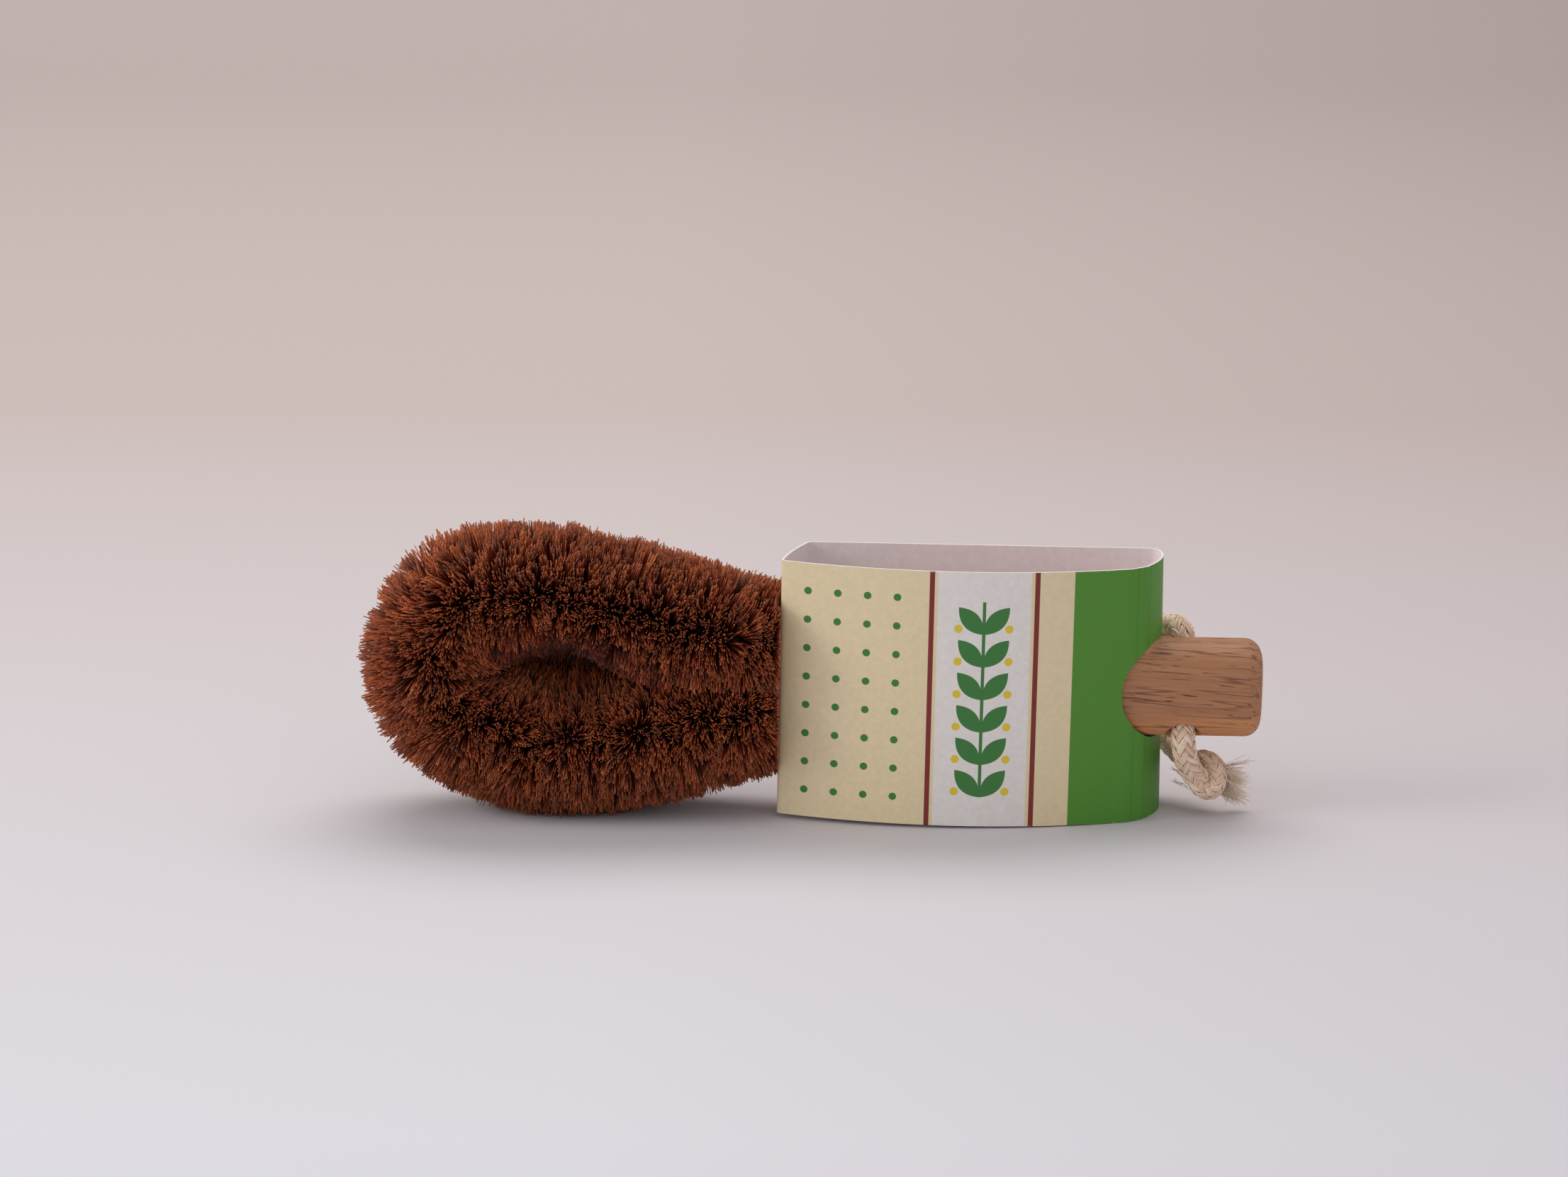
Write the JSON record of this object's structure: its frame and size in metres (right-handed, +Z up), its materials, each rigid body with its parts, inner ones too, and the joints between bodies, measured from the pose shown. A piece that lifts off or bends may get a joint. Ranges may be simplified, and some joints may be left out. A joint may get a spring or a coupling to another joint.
{
  "type": "dish brush",
  "caption": "Washing-up brush lying on its edge: looped coir head on twisted wire, oval wooden handle through a card sleeve, and a knotted cotton hanging cord.",
  "frame": {"origin": "on the floor under the middle of the brush's box, cord left out", "axes": "+X along the brush towards the handle's tail, +Y away from the sleeve's bowed front, +Z up as it lies on its edge"},
  "size_m": [0.2128, 0.0365, 0.0686],
  "materials": {
    "wood": "oiled pale hardwood with fine dark pores",
    "wire": "bright drawn wire",
    "coir": "stiff brown coconut fibre",
    "card": "uncoated printed card, cream with a green band",
    "cotton": "undyed braided cotton"
  },
  "bodies": {
    "brush": {"handle": "wood", "core_wire_a": "wire", "core_wire_b": "wire", "bristles_upper_arm": "coir", "bristles_upper_tip": "coir", "bristles_lower_tip": "coir", "bristles_lower_arm": "coir", "hanging_cord": "cotton", "cord_knot": "cotton", "cord_tail_a": "cotton", "cord_tail_b": "cotton"},
    "sleeve": {"card_sleeve": "card"}
  },
  "joints": [
    {"name": "sleeve_slide", "type": "slide", "parent": "brush", "child": "sleeve", "axis": [0.9999, 0, -0.0143], "range_m": [0, 0.0018]}
  ]
}
